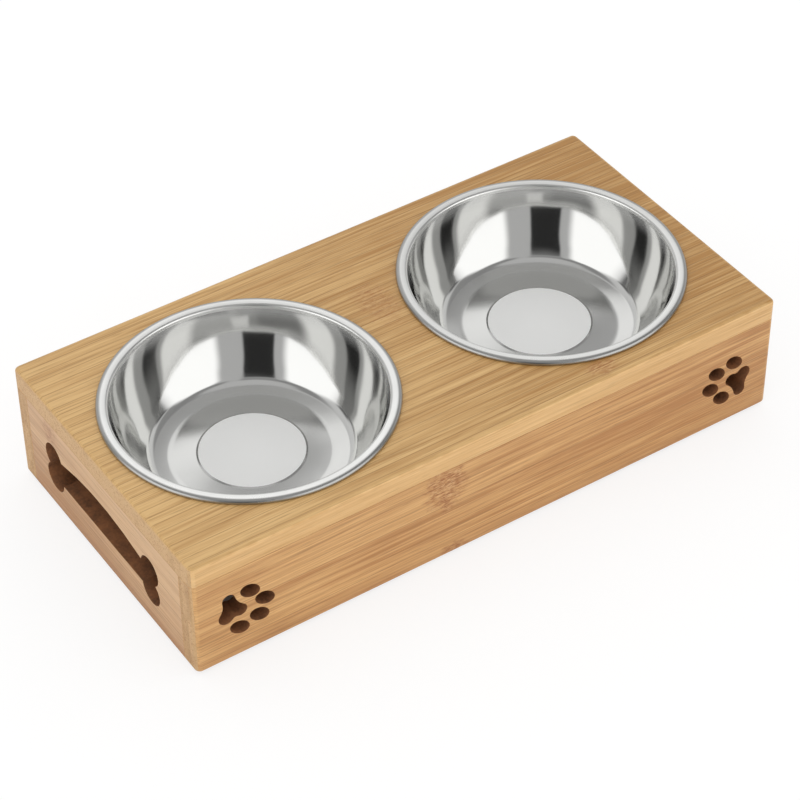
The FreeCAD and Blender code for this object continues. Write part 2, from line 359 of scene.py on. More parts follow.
class BambooFinish(PropertyGroup):
    """Colours and grain of the laminated bamboo"""

    top_dark: colour("Top dark", "Dark fibres of the top board", srgb(178, 130, 70))
    top_light: colour("Top light", "Light fibres of the top board", srgb(222, 182, 122))
    long_dark: colour("Long board dark", "Dark fibres of the front and rear boards", srgb(190, 134, 80))
    long_light: colour("Long board light", "Light fibres of the front and rear boards", srgb(236, 188, 126))
    end_dark: colour("End board dark", "Dark fibres of the end boards", srgb(186, 136, 90))
    end_light: colour("End board light", "Light fibres of the end boards", srgb(224, 184, 139))
    band_dark: colour("Edge band dark", "Dark fibres on the long edge of a board", srgb(218, 170, 108))
    band_light: colour("Edge band light", "Light fibres on the long edge of a board", srgb(252, 210, 150))
    cut_dark: colour("End grain dark", "Dark cells of the end grain", srgb(166, 124, 80))
    cut_light: colour("End grain light", "Light cells of the end grain", srgb(216, 178, 130))
    knuckle_dark: colour("Knuckle dark", "Dark flecks of a knuckle in the cane", srgb(156, 90, 48))
    knuckle_light: colour("Knuckle light", "Light flecks of a knuckle in the cane", srgb(230, 188, 138))
    scorch_dark: colour("Scorch dark", "Darkest part of the burnt cut-out walls", srgb(88, 60, 42))
    # Also the colour of the painted shade along the foot of the boards
    scorch_light: colour("Scorch light", "Lightest part of the burnt cut-out walls", srgb(166, 110, 70))
    top_strip: length("Top strip", "Width of the strips in the top board", 0.0055)
    top_layer: length("Top layer", "Thickness of one layer of the top board", 0.012)
    long_strip: length("Long board strip", "Width of the strips in the front and rear boards", 0.0235)
    end_strip: length("End board strip", "Width of the strips in the end boards", 0.0215)
    layer: length("Layer", "Thickness of one layer of the long and end boards", 0.0040)
    roughness: share("Roughness", "Roughness of the satin lacquer", 0.40)


class SteelFinish(PropertyGroup):
    """Colour and polish of the pressed steel"""

    tint: colour("Tint", "Colour of polished steel", (0.66, 0.66, 0.645))
    disc_tint: colour("Disc tint", "Colour of the frosted middle disc", (0.97, 0.97, 0.955))
    # Painted light on the rim: the line and roll tints are painted dark reflections, the crest tint a
    # painted highlight on the lip and crest
    painted_line_reflection: colour("Line tint", "Colour of the line inside the rim band", (0.60, 0.60, 0.585))
    painted_crest_highlight: colour("Crest tint", "Colour of the lip and the rim band's crest", (0.95, 0.95, 0.93))
    painted_roll_reflection: colour("Roll tint", "Colour of the rolled outer edge", (0.42, 0.42, 0.41))
    outside_tint: colour("Outside tint", "Colour of the satin outside", (0.52, 0.52, 0.51))
    polished: share("Polished roughness", "Roughness of the wall and the floor ring", 0.07)
    satin: share("Satin roughness", "Roughness of the middle disc", 0.60)
    frosted: share("Frosted disc", "How metallic the frosted middle disc looks", 0.5)
    rim: share("Rim roughness", "Roughness of the rim band", 0.30)
    outside: share("Outside roughness", "Roughness of the satin outside", 0.30)
    haze_drop: length("Haze drop", "From the top of the rim to the edge of the wall's hazy zone", 0.006)


class SmallFinishes(PropertyGroup):
    """Colours of the pads and the dowels"""

    pad: colour("Pad", "Colour of the soft pads", srgb(222, 220, 212))
    dowel_dark: colour("Dowel dark", "Dark grain of the dowels", srgb(186, 146, 100))
    dowel_light: colour("Dowel light", "Light grain of the dowels", srgb(222, 188, 146))


class StageSettings(PropertyGroup):
    """Camera, floor and light"""

    lens: FloatProperty(name="Lens", description="Focal length in millimetres", default=123.81)
    azimuth: angle("Azimuth", "Camera's turn about the vertical", -33.33)
    elevation: angle("Elevation", "Camera's height over the horizon", 41.86)
    roll: angle("Roll", "Camera's turn about its own view", -0.58)
    distance: length("Distance", "From the aim to the camera", 1.4454)
    aim: FloatVectorProperty(
        name="Aim", description="Point the camera looks at", default=(0.0065, 0.0096, 0.0153),
        size=3, subtype="XYZ", unit="LENGTH",
    )
    floor_size: length("Floor size", "Half width of the floor", 4.0)
    floor: colour("Floor", "Colour of the floor", (0.90, 0.90, 0.90))
    floor_seen: colour("Floor seen", "Colour of the shadowed floor to the camera", (0.26, 0.26, 0.26))
    # Painted shade: to the camera, the floor inside the stand has this darker colour
    floor_painted_shade: colour("Floor under", "Colour of the floor in the stand to the camera", (0.60, 0.60, 0.60))
    floor_lift: share("Floor lift", "Light that the camera adds to the floor", 0.765)
    floor_margin: length("Floor margin", "How far the lifted floor reaches in under the walls", 0.004)
    ambient: share("Ambient", "Strength of the light from all around", 0.95)
    light_level: FloatProperty(
        name="Lights", description="Brightness of the two tall lights in metal", default=1.5
    )
    light_start: share("Light start", "Where the two tall lights begin beside the camera in metal", 0.47)
    flank_level: share("Flank level", "Brightness between a tall light and the camera stand in metal", 0.57)
    stand_offset: share("Stand offset", "How far the camera stand lies to the right in metal", -0.10)
    stand_width: share("Stand width", "Half width of the dark camera stand in metal", 0.22)
    stand_level: share("Stand level", "Brightness of the camera stand in metal", 0.03)
    stand_top: share("Stand top", "Brightness over the camera stand in metal", 0.34)
    gap_level: share("Gap level", "Brightness of the dark gap behind each tall light in metal", 0.15)
    far_level: share("Far wall", "Brightness of the far left of the studio in metal", 0.72)
    screen_level: share("Screen level", "Brightness of the far right of the studio in metal", 0.32)
    middle_level: share("Far middle", "Brightness of the middle of the far side in metal", 0.46)
    low_level: share("Low wall", "Brightness of the foot of the far wall in metal", 0.78)
    lamp_level: FloatProperty(
        name="Far lamp", description="Brightness of the far lamp in metal", default=1.15
    )
    dome_level: share("Dome", "Brightness over the two tall lights in metal", 0.30)
    ceiling_level: share("Ceiling", "Brightness of the ceiling in metal", 0.60)


GROUPS = {
    "stand_boards": BoardSizes,
    "stand_bone": BoneSizes,
    "stand_paw": PawSizes,
    "stand_bowl": BowlSizes,
    "stand_foot": FootSizes,
    "stand_bamboo": BambooFinish,
    "stand_steel": SteelFinish,
    "stand_small": SmallFinishes,
    "stand_stage": StageSettings,
}


class NodeDesk:
    """Short ways to add nodes to a node tree."""

    def __init__(self, tree):
        self.tree = tree

    def put(self, socket, value):
        """Links an output to an input, or writes a constant into the input."""
        if isinstance(value, NodeSocket):
            self.tree.links.new(value, socket)
        elif socket.type == "RGBA":
            socket.default_value = (*value, 1.0)
        else:
            socket.default_value = value

    def add(self, kind, inputs=None, **settings):
        """A node with its settings and inputs."""
        node = self.tree.nodes.new(kind)
        for name, value in settings.items():
            setattr(node, name, value)
        for key, value in (inputs or {}).items():
            self.put(node.inputs[key], value)
        return node

    def math(self, operation, first, second=0.0, clamp=False):
        """One step of arithmetic."""
        inputs = {0: first, 1: second}
        return self.add("ShaderNodeMath", inputs, operation=operation, use_clamp=clamp).outputs[0]

    def total(self, terms):
        """Sum of a base value and pairs of a value and its weight."""
        base, *pairs = terms
        for value, weight in pairs:
            inputs = {0: value, 1: weight, 2: base}
            base = self.add("ShaderNodeMath", inputs, operation="MULTIPLY_ADD").outputs[0]
        return base

    def square_sum(self, first, second):
        """Sum of the squares of two values."""
        return self.math("ADD", self.math("POWER", first, 2), self.math("POWER", second, 2))

    def clamped(self, value):
        """A value held between 0 and 1."""
        return self.math("ADD", value, 0.0, clamp=True)

    def object_axes(self, centre=(0, 0, 0)):
        """The three object coordinates, measured from a centre."""
        place = self.add("ShaderNodeTexCoord").outputs["Object"]
        moved = self.add("ShaderNodeVectorMath", {0: place, 1: centre}, operation="SUBTRACT").outputs[0]
        return self.add("ShaderNodeSeparateXYZ", {0: moved}).outputs

    def vector(self, axes, scales=(1, 1, 1)):
        """A vector of three values, each times its scale."""
        joined = self.add("ShaderNodeCombineXYZ", dict(enumerate(axes))).outputs[0]
        return self.add("ShaderNodeVectorMath", {0: joined, 1: scales}, operation="MULTIPLY").outputs[0]

    def part_along(self, vector, axis):
        """How far a vector reaches along an axis."""
        node = self.add("ShaderNodeVectorMath", {0: vector, 1: axis}, operation="DOT_PRODUCT")
        return node.outputs["Value"]

    def grain(self, grain, axes):
        """Smooth noise of a grain, from 0 to 1."""
        vector = self.vector(axes, grain.repeats)
        inputs = {"Vector": vector, "Scale": 1.0, "Detail": grain.detail, "Roughness": grain.roughness}
        return self.add("ShaderNodeTexNoise", inputs).outputs[0]

    def chance(self, vector):
        """A random value for each different vector."""
        return self.add("ShaderNodeTexWhiteNoise", {"Vector": vector}).outputs["Value"]

    def step(self, value, start, end):
        """Smooth step from 0 at start to 1 at end."""
        inputs = {"Value": value, "From Min": start, "From Max": end}
        return self.add("ShaderNodeMapRange", inputs, interpolation_type="SMOOTHSTEP").outputs[0]

    def fade(self, value, mark, origin=0.0):
        """How far a value has gone from a mark's start to its full, both measured from an origin."""
        return self.step(value, origin + mark.start, origin + mark.full)

    def band(self, value, ends, soft):
        """Soft band between two ends, 1 inside and 0 outside."""
        low, high = ends
        begun = self.step(value, low - soft, low + soft)
        return self.math("MULTIPLY", begun, self.step(value, high + soft, high - soft))

    def cover(self, shade, colour, mask, strength):
        """A shade with a colour laid over it by a mask."""
        return self.mix(self.math("MULTIPLY", mask, strength), shade, colour)

    def mix(self, factor, first, second):
        """Mix of two colours."""
        inputs = {0: factor, 6: first, 7: second}
        return self.add("ShaderNodeMix", inputs, data_type="RGBA").outputs[2]

    def blend(self, factor, first, second):
        """Mix of two values."""
        inputs = {0: factor, 2: first, 3: second}
        return self.add("ShaderNodeMix", inputs, data_type="FLOAT").outputs[0]

    def bump(self, height, strength, distance):
        """Normal that follows a height."""
        inputs = {"Height": height, "Strength": strength, "Distance": distance}
        return self.add("ShaderNodeBump", inputs).outputs[0]


class Finish(NodeDesk):
    """A new material."""

    def __init__(self, name):
        self.material = bpy.data.materials.new(name)
        self.material.use_nodes = True
        super().__init__(self.material.node_tree)
        self.shader = self.tree.nodes["Principled BSDF"]

    def edge_wear(self):
        """Mark of the rounded edges, from 0 to 1."""
        return self.add("ShaderNodeAttribute", attribute_name=EDGE_WEAR).outputs["Fac"]

    def surface(self, **inputs):
        """Inputs of the shader, with spaces written as underscores."""
        for name, value in inputs.items():
            self.put(self.shader.inputs[name.replace("_", " ")], value)


def knuckle_mask(finish, along, across, knuckles):
    """Soft ragged patches around the knuckles of the cane."""
    ragged = finish.grain(RAGGED_EDGE, (along, across, 0.0))
    mask = 0.0
    for knuckle in knuckles:
        off_along = finish.math("SUBTRACT", along, knuckle.along)
        off_across = finish.math("SUBTRACT", across, knuckle.across)
        square = finish.square_sum(
            finish.math("DIVIDE", off_along, knuckle.half_length),
            finish.math("DIVIDE", off_across, knuckle.half_width),
        )
        reach = finish.total([square, (ragged, RAGGEDNESS), (1.0, -RAGGEDNESS / 2)])
        patch = finish.math("MULTIPLY", finish.fade(reach, KNUCKLE_HAZE), knuckle.strength)
        mask = finish.math("MAXIMUM", mask, patch)
    return mask


@dataclass
class Cane:
    """Look of one face of a board.

    The order names the axes along the fibres, across the strips and through the board. The painted light
    drift is a painted gradient of light and shade: how much paler the wood gets per metre along and across.
    The lift is how much paler it is all over.
    """

    name: str
    order: tuple
    dark: tuple
    light: tuple
    strip: float
    seed: float
    contrast: float = 1.0
    painted_light_drift: tuple = (0.0, 0.0)
    lift: float = 0.0
    knuckles: tuple = ()


def bamboo(cane, settings):
    """Laminated bamboo: strips of cane with long fibres, glue lines, knuckles and satin lacquer."""
    finish = Finish(cane.name)
    axes = finish.object_axes()
    along, across, through = (axes[index] for index in cane.order)
    place = finish.math("ADD", finish.math("DIVIDE", across, cane.strip), cane.seed)
    strip_chance = finish.chance(finish.vector((finish.math("FLOOR", place), cane.seed, 0.0)))
    inside = finish.math("FRACT", place)
    run = (finish.total([along, (strip_chance, STRIP_SHIFT)]), across, through)
    fibres = finish.grain(FIBRES, run)
    streaks = finish.grain(STREAKS, run)
    clouds = finish.grain(CLOUDS, run)
    tones = zip((strip_chance, streaks, fibres, clouds), TONE_PARTS)
    middle = cane.lift - sum(TONE_PARTS) / 2
    # The painted light drift adds a painted gradient of light and shade along and across the board
    spread = finish.total([middle, *tones, (along, cane.painted_light_drift[0]), (across, cane.painted_light_drift[1])])
    tone = finish.math("ADD", finish.math("MULTIPLY", spread, cane.contrast), 0.5, clamp=True)
    shade = finish.mix(tone, cane.dark, cane.light)

    # Dark fibre lines, short pores, and the glue line at each side of a strip
    line_shade = [part * LINE_SHADE for part in cane.dark]
    lines = finish.grain(DARK_LINES, run)
    pores = finish.grain(PORES, run)
    to_side = finish.math("MINIMUM", inside, finish.math("SUBTRACT", 1.0, inside))
    glue = finish.fade(finish.math("MULTIPLY", to_side, cane.strip), GLUE_LINE)
    line_strength = DARK_LINE.strength * cane.contrast
    shade = finish.cover(shade, line_shade, finish.fade(lines, DARK_LINE), line_strength)
    shade = finish.cover(shade, line_shade, finish.fade(pores, PORE), PORE.strength)
    shade = finish.cover(shade, line_shade, glue, GLUE_LINE.strength)
    height = finish.total([0.0, *zip((fibres, streaks, glue, lines), RELIEF_PARTS)])

    # Knuckles: flecks of dark and light cane across the strip
    if cane.knuckles:
        haze = knuckle_mask(finish, along, across, cane.knuckles)
        flecks = finish.grain(FLECKS, (along, across, through))
        dark_flecks = finish.math("MULTIPLY", finish.fade(flecks, DARK_FLECK), haze)
        light_flecks = finish.math("MULTIPLY", finish.fade(flecks, LIGHT_FLECK), haze)
        shade = finish.cover(shade, settings.knuckle_dark, haze, KNUCKLE_HAZE.strength)
        shade = finish.cover(shade, settings.knuckle_dark, dark_flecks, DARK_FLECK.strength)
        shade = finish.cover(shade, settings.knuckle_light, light_flecks, LIGHT_FLECK.strength)
        height = finish.total([height, (dark_flecks, FLECK_RELIEF)])

    # The foot of a board is darkened towards the floor as painted shade, and rounded edges are worn paler
    # and smoother
    foot = finish.fade(axes[Z], FOOT_PAINTED_SHADE)
    shade = finish.cover(shade, settings.scorch_light, foot, FOOT_PAINTED_SHADE.strength)
    patches = finish.fade(finish.grain(WORN_PATCHES, axes), WORN_EDGE)
    worn = finish.math("MULTIPLY", finish.edge_wear(), patches)
    shade = finish.cover(shade, cane.light, worn, WORN_EDGE.strength)
    even = settings.roughness - sum(ROUGH_PARTS) / 2
    finish.surface(
        Base_Color=shade,
        Roughness=finish.total([even, *zip((fibres, clouds), ROUGH_PARTS), (worn, WORN_ROUGHNESS)]),
        Normal=finish.bump(height, strength=0.35, distance=0.0002),
        Specular_IOR_Level=0.4,
        Coat_Weight=0.12,
        Coat_Roughness=0.25,
    )
    return finish.material


def end_grain(name, order, strip, layer, settings, seed, lift=0.0):
    """Sawn ends of the strips: cells of slightly different tone, full of dark fibre ends."""
    finish = Finish(name)
    axes = finish.object_axes()
    along, across, through = (axes[index] for index in order)
    column = finish.math("FLOOR", finish.math("ADD", finish.math("DIVIDE", across, strip), seed))
    row = finish.math("ADD", finish.math("DIVIDE", through, layer), seed)
    cell = finish.chance(finish.vector((column, finish.math("FLOOR", row), seed)))
    depth = finish.math("FRACT", row)
    dots = finish.grain(FIBRE_ENDS, (along, across, through))
    rays = finish.grain(END_RAYS, (along, across, through))
    tone = finish.total([END_BASE + lift, *zip((cell, rays, depth), END_PARTS)])
    shade = finish.mix(finish.clamped(tone), settings.cut_dark, settings.cut_light)
    shade = finish.cover(shade, settings.knuckle_dark, finish.fade(dots, FIBRE_END), FIBRE_END.strength)
    shade = finish.cover(shade, settings.cut_light, finish.edge_wear(), WORN_END_STRENGTH)
    finish.surface(
        Base_Color=shade,
        Roughness=finish.total([settings.roughness, (dots, DOT_ROUGHNESS)]),
        Normal=finish.bump(dots, strength=0.3, distance=0.0002),
        Specular_IOR_Level=0.35,
    )
    return finish.material


def scorched(settings):
    """Walls of the cut-outs, browned by the cut, with smoke and fine marks."""
    finish = Finish(SCORCHED)
    axes = finish.object_axes()
    smoke = finish.grain(SMOKE, axes)
    marks = finish.grain(CUT_MARKS, axes)
    tone = finish.clamped(finish.total([BURNT_BASE, *zip((smoke, marks), BURNT_PARTS)]))
    finish.surface(
        Base_Color=finish.mix(tone, settings.scorch_dark, settings.scorch_light),
        Roughness=finish.total([BURNT_ROUGHNESS, (marks, MARK_ROUGHNESS)]),
        Normal=finish.bump(marks, strength=0.3, distance=0.0003),
        Specular_IOR_Level=0.3,
    )
    return finish.material


@dataclass
class Zone:
    """Look of one zone of a bowl.

    A band has its tint, the radius at which it begins and the width over which it fades in; the rim's bands
    are painted highlights and painted reflections. Inside the floor's radius the steel is less polished,
    and above the mouth's height it is hazy.
    """

    name: str
    tint: tuple
    roughness: float
    lines: float = 0.0
    dents: float = 0.0
    metallic: float = 1.0
    bands: tuple = ()
    floor: float = 0.0
    mouth: float = 0.0


def steel(zone, centre):
    """Steel turned about a bowl's axis: fine circular lines, faint dents and small changes of polish."""
    finish = Finish(zone.name)
    axes = finish.object_axes(centre)
    radius = finish.math("SQRT", finish.square_sum(axes[X], axes[Y]))
    turned = finish.grain(TURNED_LINES, (radius, axes[Z], 0.0))
    smears = finish.grain(SMEARS, axes)
    waves = finish.grain(WAVES, axes)
    even, smeared, lined = (zone.roughness * part for part in POLISH_PARTS)
    gloss = finish.total([even, (smears, smeared), (turned, lined)])
    shade = finish.cover(zone.tint, [part * SMEAR_SHADE for part in zone.tint], smears, SMEAR_STRENGTH)
    # Bands about the axis: on the rim these are painted highlights and painted reflections
    for tint, start, width in zone.bands:
        shade = finish.mix(finish.step(radius, start, start + width), shade, tint)
    metallic = zone.metallic
    if zone.floor:
        gloss = finish.total([gloss, (finish.fade(radius, FLOOR_EDGE, zone.floor), FLOOR_EDGE.strength)])
    if zone.mouth:
        haze = finish.fade(axes[Z], MOUTH_EDGE, zone.mouth)
        metallic = finish.total([metallic, (haze, MOUTH_EDGE.strength)])
    height = finish.total([0.0, (turned, zone.lines), (waves, zone.dents)])
    finish.surface(
        Base_Color=shade,
        Metallic=metallic,
        Roughness=gloss,
        Normal=finish.bump(height, strength=0.2, distance=0.001),
    )
    return finish.material


def soft_pad(settings):
    """Milky moulded pad with a fine matt grain."""
    finish = Finish("soft_pad")
    axes = finish.object_axes()
    grain = finish.grain(PAD_GRAIN, axes)
    dust = finish.grain(PAD_DUST, axes)
    grey = [part * DIRT_SHADE for part in settings.pad]
    finish.surface(
        Base_Color=finish.mix(finish.fade(dust, PAD_DIRT), settings.pad, grey),
        Roughness=finish.total([PAD_ROUGHNESS, (dust, DUST_ROUGHNESS)]),
        Normal=finish.bump(grain, strength=0.2, distance=0.0002),
        Subsurface_Weight=0.2,
        Subsurface_Scale=0.001,
    )
    return finish.material


def dowel_wood(settings):
    """Plain hardwood with short flecks."""
    finish = Finish("dowel_wood")
    axes = finish.object_axes()
    grain = finish.grain(DOWEL_GRAIN, axes)
    flecks = finish.grain(DOWEL_FLECKS, axes)
    tone = finish.clamped(finish.total([DOWEL_BASE, *zip((grain, flecks), DOWEL_PARTS)]))
    finish.surface(
        Base_Color=finish.mix(tone, settings.dowel_dark, settings.dowel_light),
        Roughness=finish.total([DOWEL_ROUGHNESS, (flecks, FLECK_ROUGHNESS)]),
        Normal=finish.bump(flecks, strength=0.3, distance=0.0003),
    )
    return finish.material


def finished_mesh(name, shape):
    """Mesh of a bmesh, which is freed."""
    mesh = bpy.data.meshes.new(name)
    shape.to_mesh(mesh)
    shape.free()
    return mesh


def add_object(name, mesh):
    """An object of a mesh, in the scene."""
    made = bpy.data.objects.new(name, mesh)
    bpy.context.scene.collection.objects.link(made)
    return made


def add_piece(name, shape, materials, body, node):
    """A finished piece that stands for a CAD node and moves with its body."""
    piece = add_object(name, finished_mesh(name, shape))
    for material in materials:
        piece.data.materials.append(material)
    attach(piece, body)
    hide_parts(node)
    return piece


def box_shape(low, high):
    """Box between two corners."""
    shape = bmesh.new()
    bmesh.ops.create_cube(shape, size=1.0)
    bmesh.ops.scale(shape, vec=high - low, verts=shape.verts)
    bmesh.ops.translate(shape, vec=(low + high) / 2, verts=shape.verts)
    return shape


def edges_at(shape, tests):
    """Edges whose two ends both lie at the given places: pairs of an axis and a value."""
    def at(vertex):
        return all(abs(vertex.co[axis] - value) < TINY for axis, value in tests)
    return [edge for edge in shape.edges if all(at(vertex) for vertex in edge.verts)]


def round_edges(shape, edges, radius, steps):
    """Rounds edges with a radius."""
    bmesh.ops.bevel(
        shape, geom=edges, offset=radius, offset_type="OFFSET", affect="EDGES",
        segments=steps, profile=0.5, material=-1, clamp_overlap=False,
    )


def arc_to(shape, start, centre, end, turn):
    """Arc from a vertex about a centre to a point, turning left or right; gives its last vertex."""
    first = Vector(start.co) - centre
    last = end - centre
    swept = turn * (math.atan2(last.y, last.x) - math.atan2(first.y, first.x)) % math.tau
    steps = max(2, round(swept / ARC_STEP))
    spun = bmesh.ops.spin(
        shape, geom=[start], cent=centre, axis=(0, 0, 1), angle=turn * swept, steps=steps
    )
    return next(part for part in spun["geom_last"] if isinstance(part, bmesh.types.BMVert))


def fill_outline(shape):
    """Closes an outline that ends where it began, and fills it."""
    bmesh.ops.remove_doubles(shape, verts=shape.verts, dist=TINY)
    bmesh.ops.contextual_create(shape, geom=shape.edges[:])


def bone_outline(sizes):
    """Bone: four lobes, a straight lower edge and an arched upper edge."""
    lobe = sizes.lobe_diameter / 2
    across = sizes.length / 2 - lobe
    up = sizes.height / 2 - lobe
    notch = across + math.sqrt(lobe**2 - up**2)
    low_meet = across - math.sqrt(lobe**2 - (sizes.shaft_drop - up) ** 2)
    high_meet = across - math.sqrt(lobe**2 - (sizes.shaft_rise - up) ** 2)
    arch_radius = (high_meet**2 + sizes.arch_rise**2) / (2 * sizes.arch_rise)
    arch_centre = Vector((0, sizes.shaft_rise + sizes.arch_rise - arch_radius, 0))
    shape = bmesh.new()
    begin = shape.verts.new((-low_meet, -sizes.shaft_drop, 0))
    pen = shape.verts.new((low_meet, -sizes.shaft_drop, 0))
    shape.edges.new((begin, pen))
    pen = arc_to(shape, pen, Vector((across, -up, 0)), Vector((notch, 0, 0)), LEFT)
    pen = arc_to(shape, pen, Vector((across, up, 0)), Vector((high_meet, sizes.shaft_rise, 0)), LEFT)
    pen = arc_to(shape, pen, arch_centre, Vector((-high_meet, sizes.shaft_rise, 0)), LEFT)
    pen = arc_to(shape, pen, Vector((-across, up, 0)), Vector((-notch, 0, 0)), LEFT)
    arc_to(shape, pen, Vector((-across, -up, 0)), Vector((-low_meet, -sizes.shaft_drop, 0)), LEFT)
    fill_outline(shape)
    return shape


def waist_centre(first, first_radius, second, second_radius, waist):
    """Centre of an arc that touches two lobes from outside, right of the way from first to second."""
    reach = first_radius + waist
    far_reach = second_radius + waist
    gap = (second - first).length
    along = (gap**2 + reach**2 - far_reach**2) / (2 * gap)
    aside = math.sqrt(reach**2 - along**2)
    way = (second - first).normalized()
    return first + way * along + Vector((way.y, -way.x, 0)) * aside


def pad_outline(sizes):
    """Main pad of the paw: three lobes joined by hollow waists, all tangent."""
    centres = [Vector((x, y, 0)) * sizes.size for x, y in LOBE_CENTRES]
    radii = [part * sizes.size for part in LOBE_RADII]
    waists = [part * sizes.size for part in WAIST_RADII]
    count = len(centres)
    hollows = []
    for index, waist in enumerate(waists):
        after = (index + 1) % count
        hollows.append(waist_centre(centres[index], radii[index], centres[after], radii[after], waist))

    def touch(lobe, hollow):
        return centres[lobe] + (hollows[hollow] - centres[lobe]).normalized() * radii[lobe]

    shape = bmesh.new()
    pen = shape.verts.new(touch(0, count - 1))
    for index in range(count):
        after = (index + 1) % count
        pen = arc_to(shape, pen, centres[index], touch(index, index), LEFT)
        pen = arc_to(shape, pen, hollows[index], touch(after, index), RIGHT)
    fill_outline(shape)
    return shape


def toe_outline(sizes, centre):
    """One toe of the paw: a tilted ellipse."""
    shape = bmesh.new()
    bmesh.ops.create_circle(shape, cap_ends=True, segments=TOE_STEPS, radius=1.0)
    bmesh.ops.scale(shape, vec=(sizes.toe_length / 2, sizes.toe_width / 2, 1), verts=shape.verts)
    tilt = Matrix.Rotation(sizes.toe_tilt, 3, "Z")
    bmesh.ops.rotate(shape, cent=(0, 0, 0), matrix=tilt, verts=shape.verts)
    bmesh.ops.translate(shape, vec=Vector((*centre, 0)) * sizes.size, verts=shape.verts)
    return shape


def paw_outlines(sizes):
    """All five cut-outs of one paw."""
    return [pad_outline(sizes)] + [toe_outline(sizes, centre) for centre in TOE_CENTRES]


def stand_through(shape, depth, spin, turn, place):
    """Makes an outline a cutter through an upright board: spun flat, stood up, turned and placed."""
    grown = bmesh.ops.extrude_face_region(shape, geom=shape.faces[:])["geom"]
    top = [part for part in grown if isinstance(part, bmesh.types.BMVert)]
    bmesh.ops.translate(shape, vec=(0, 0, depth), verts=top)
    bmesh.ops.translate(shape, vec=(0, 0, -depth / 2), verts=shape.verts)
    upright = Matrix.Rotation(turn, 3, "Z") @ Matrix.Rotation(math.pi / 2, 3, "X")
    bmesh.ops.rotate(
        shape, cent=(0, 0, 0), matrix=upright @ Matrix.Rotation(spin, 3, "Z"), verts=shape.verts
    )
    bmesh.ops.translate(shape, vec=place, verts=shape.verts)
    bmesh.ops.recalc_face_normals(shape, faces=shape.faces)
    return shape


def cut(shape, cutters):
    """Cuts shapes out of a board and gives the board back as a new bmesh."""
    board = add_object("blank", finished_mesh("blank", shape))
    tools = [add_object("cutter", finished_mesh("cutter", cutter)) for cutter in cutters]
    for tool in tools:
        modifier = board.modifiers.new("cut", "BOOLEAN")
        modifier.operation = "DIFFERENCE"
        modifier.solver = "EXACT"
        modifier.object = tool
    evaluated = board.evaluated_get(bpy.context.evaluated_depsgraph_get())
    result = bmesh.new()
    result.from_mesh(evaluated.to_mesh())
    evaluated.to_mesh_clear()
    for used in (board, *tools):
        mesh = used.data
        bpy.data.objects.remove(used)
        bpy.data.meshes.remove(mesh)
    return result


def ease_edges(shape, radius):
    """Rounds every edge that is still sharp by a little."""
    sharp = [edge for edge in shape.edges if edge.is_manifold and edge.calc_face_angle() > SHARP_ANGLE]
    round_edges(shape, sharp, radius, EASED_STEPS)


def is_flat(face):
    """Whether a face looks straight along one of the axes."""
    return max(abs(part) for part in face.normal) > FLAT_SHARE


def smooth_and_mark(shape):
    """Smooths the rounds, keeps the flats flat, and marks the middle of each round for wear."""
    wear = shape.loops.layers.float.new(EDGE_WEAR)
    shape.normal_update()
    for face in shape.faces:
        face.smooth = not is_flat(face)
        for corner in face.loops:
            on_flat = any(is_flat(near) for near in corner.vert.link_faces)
            corner[wear] = 0.0 if on_flat else 1.0


def sort_faces(shape, low, high, thin, grain, margin):
    """Gives each face its material: broad faces, long edges, ends or cut-outs."""
    flat_axes = [axis for axis in (X, Y, Z) if axis != thin]
    for face in shape.faces:
        middle = face.calc_center_median()
        facing = [abs(part) for part in face.normal]
        inset = min(min(middle[axis] - low[axis], high[axis] - middle[axis]) for axis in flat_axes)
        if inset > margin and facing[thin] < STEEP_SHARE:
            face.material_index = CUTS
        elif facing[thin] >= max(facing) - TINY:
            face.material_index = BROAD
        elif facing[grain] >= max(facing) - TINY:
            face.material_index = ENDS
        else:
            face.material_index = EDGES


def finish_board(shape, sizes, low, high, thin, grain):
    """Eases the edges of a cut board, smooths it and sorts its faces."""
    ease_edges(shape, sizes.eased_edge)
    smooth_and_mark(shape)
    sort_faces(shape, low, high, thin, grain, sizes.corner_radius + sizes.eased_edge)


